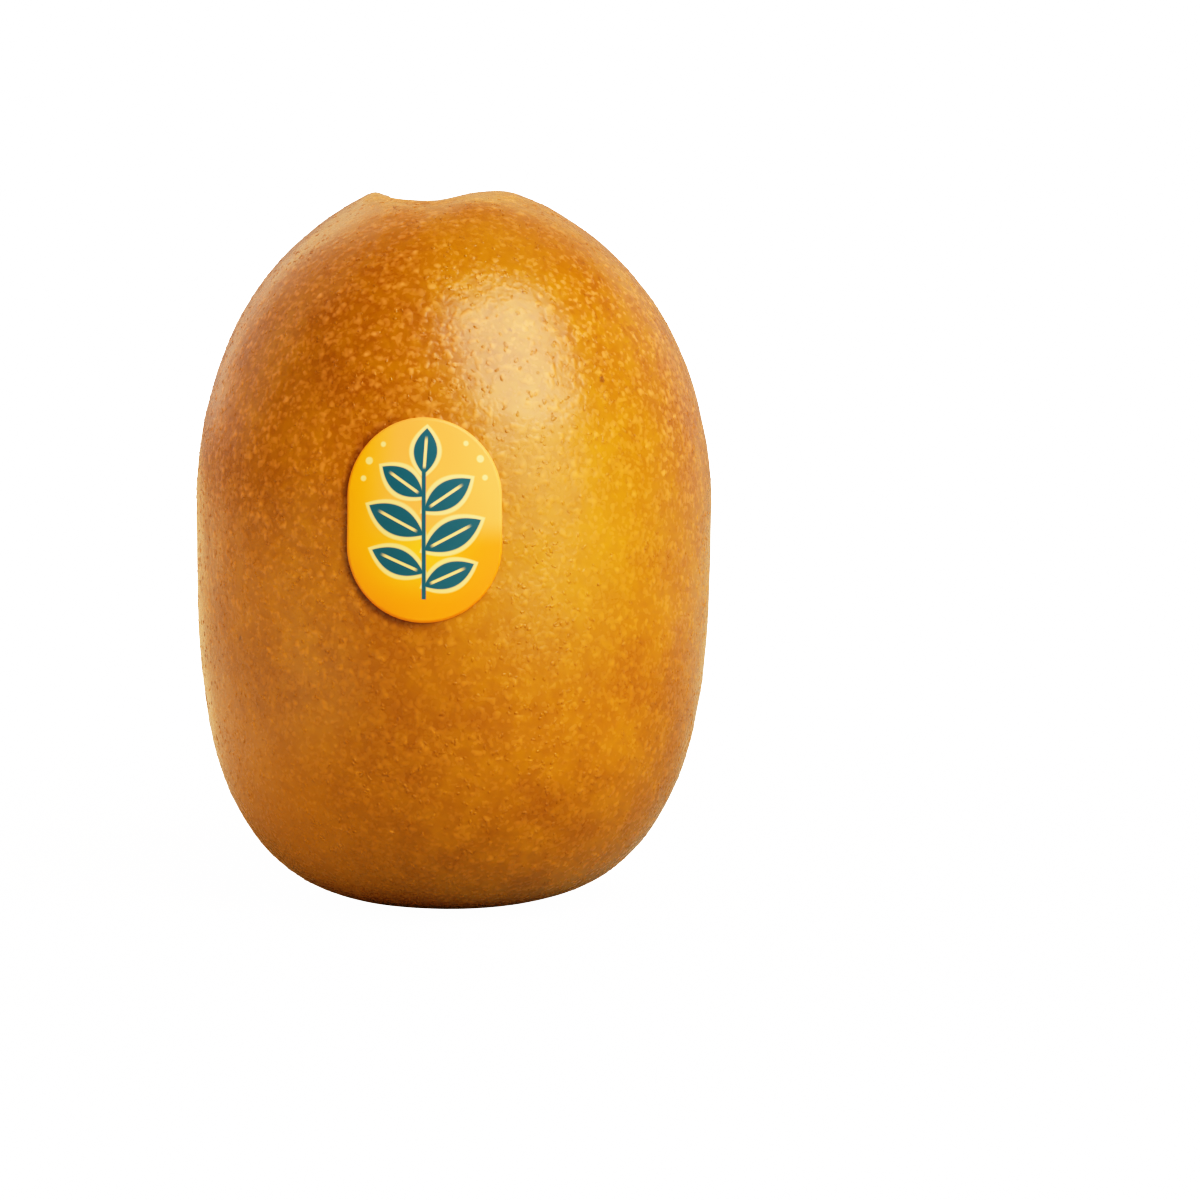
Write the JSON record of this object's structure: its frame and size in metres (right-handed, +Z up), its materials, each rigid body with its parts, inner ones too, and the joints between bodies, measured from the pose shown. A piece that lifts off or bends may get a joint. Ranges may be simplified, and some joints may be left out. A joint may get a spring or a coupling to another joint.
{
  "type": "golden kiwi fruit",
  "caption": "Whole golden kiwi fruit standing on its stem end: a smooth barrel-shaped body with a lumpy hollow crown, a tuft of dried styles, a stalk scar and a small oval label.",
  "frame": {"origin": "on the surface the fruit stands on, under the middle of its bounding box", "axes": "+Z up along the fruit from the stem end to the blossom end; the label faces -Y; +X to the right of someone facing the label"},
  "size_m": [0.05, 0.0487, 0.069],
  "materials": {
    "skin": "thin golden-brown fruit skin with fine pale scurf, satin",
    "label": "thin printed film, satin"
  },
  "bodies": {
    "root": {"fruit": "skin", "label": "label"}
  },
  "joints": []
}
